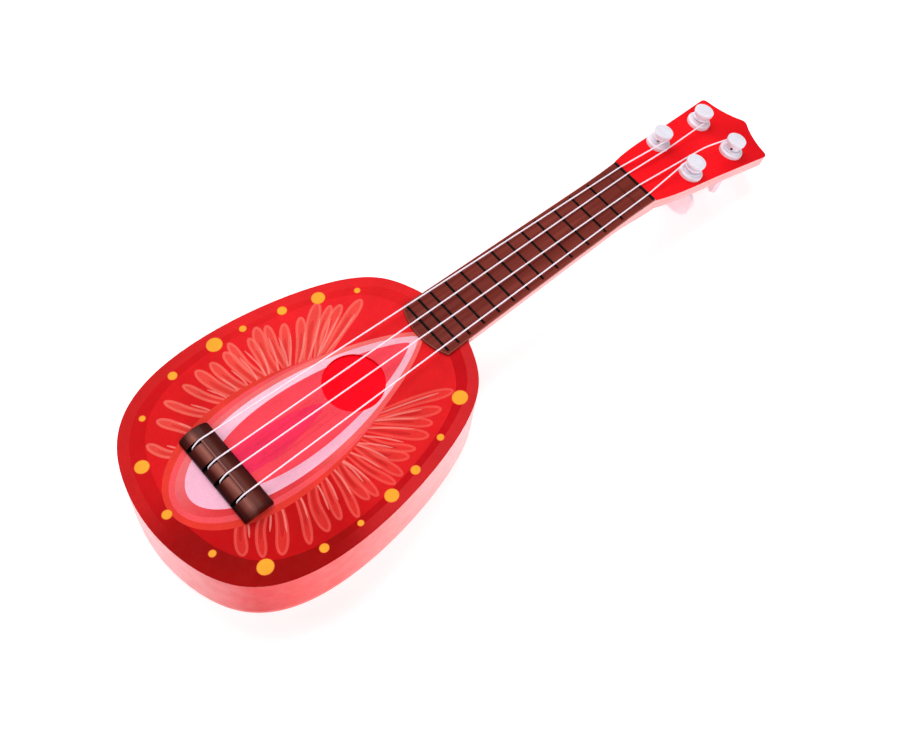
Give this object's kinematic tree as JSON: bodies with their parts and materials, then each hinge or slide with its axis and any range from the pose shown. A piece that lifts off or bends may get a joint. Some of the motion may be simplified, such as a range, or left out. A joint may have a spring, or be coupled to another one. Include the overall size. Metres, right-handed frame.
{
  "type": "toy ukulele",
  "caption": "Toy ukulele with a hollow printed body, sound hole, raised frets, nylon strings and friction tuning pegs that turn.",
  "frame": {"origin": "under the middle of the overall length and width, on the plane of the flat back", "axes": "+Y from the body to the headstock, +X to the side of the fourth string seen from the front with the headstock up, +Z out of the playing face"},
  "size_m": [0.1148, 0.36, 0.0449],
  "materials": {
    "shell_pink": "salmon pink moulded plastic, satin with faint mottling",
    "soundboard_artwork": "glossy printed film: red fruit-slice artwork with pink core and orange seeds",
    "headstock_red": "plain red glossy printed film",
    "fretboard_brown": "dark brown satin moulding with a faint wood grain, frets stamped black",
    "nut_black": "black stamped plastic",
    "bridge_brown": "dark brown polished plastic",
    "string_nylon": "white nylon line",
    "tuner_white": "white moulded plastic",
    "washer_rubber": "black rubber friction washer",
    "screw_steel": "zinc plated self-tapping screw"
  },
  "bodies": {
    "root": {"back_shell": "shell_pink", "front_shell": "shell_pink", "soundboard_print": "soundboard_artwork", "headstock_print": "headstock_red", "fretboard": "fretboard_brown", "nut": "nut_black", "bridge": "bridge_brown", "shell_screws": "screw_steel", "bridge_screws": "screw_steel", "string_1": "string_nylon", "string_2": "string_nylon", "string_3": "string_nylon", "string_4": "string_nylon", "tuner_bushing_1": "tuner_white", "tuner_bushing_2": "tuner_white", "tuner_bushing_3": "tuner_white", "tuner_bushing_4": "tuner_white", "tuner_washer_1": "washer_rubber", "tuner_washer_2": "washer_rubber", "tuner_washer_3": "washer_rubber", "tuner_washer_4": "washer_rubber"},
    "tuner_1": {"tuner_post_1": "tuner_white", "tuner_key_1": "tuner_white", "string_winding_1": "string_nylon"},
    "tuner_2": {"tuner_post_2": "tuner_white", "tuner_key_2": "tuner_white", "string_winding_2": "string_nylon"},
    "tuner_3": {"tuner_post_3": "tuner_white", "tuner_key_3": "tuner_white", "string_winding_3": "string_nylon"},
    "tuner_4": {"tuner_post_4": "tuner_white", "tuner_key_4": "tuner_white", "string_winding_4": "string_nylon"}
  },
  "joints": [
    {"name": "tuner_1_turn", "type": "hinge", "parent": "root", "child": "tuner_1", "pos_m": [-0.012, 0.1235, 0.03272], "axis": [0, 0.2507, 0.9681], "continuous": true},
    {"name": "tuner_2_turn", "type": "hinge", "parent": "root", "child": "tuner_2", "pos_m": [-0.0119, 0.15506, 0.02454], "axis": [0, 0.2507, 0.9681], "continuous": true},
    {"name": "tuner_3_turn", "type": "hinge", "parent": "root", "child": "tuner_3", "pos_m": [0.0106, 0.15506, 0.02454], "axis": [0, 0.2507, 0.9681], "continuous": true},
    {"name": "tuner_4_turn", "type": "hinge", "parent": "root", "child": "tuner_4", "pos_m": [0.0103, 0.1236, 0.03269], "axis": [0, 0.2507, 0.9681], "continuous": true}
  ]
}
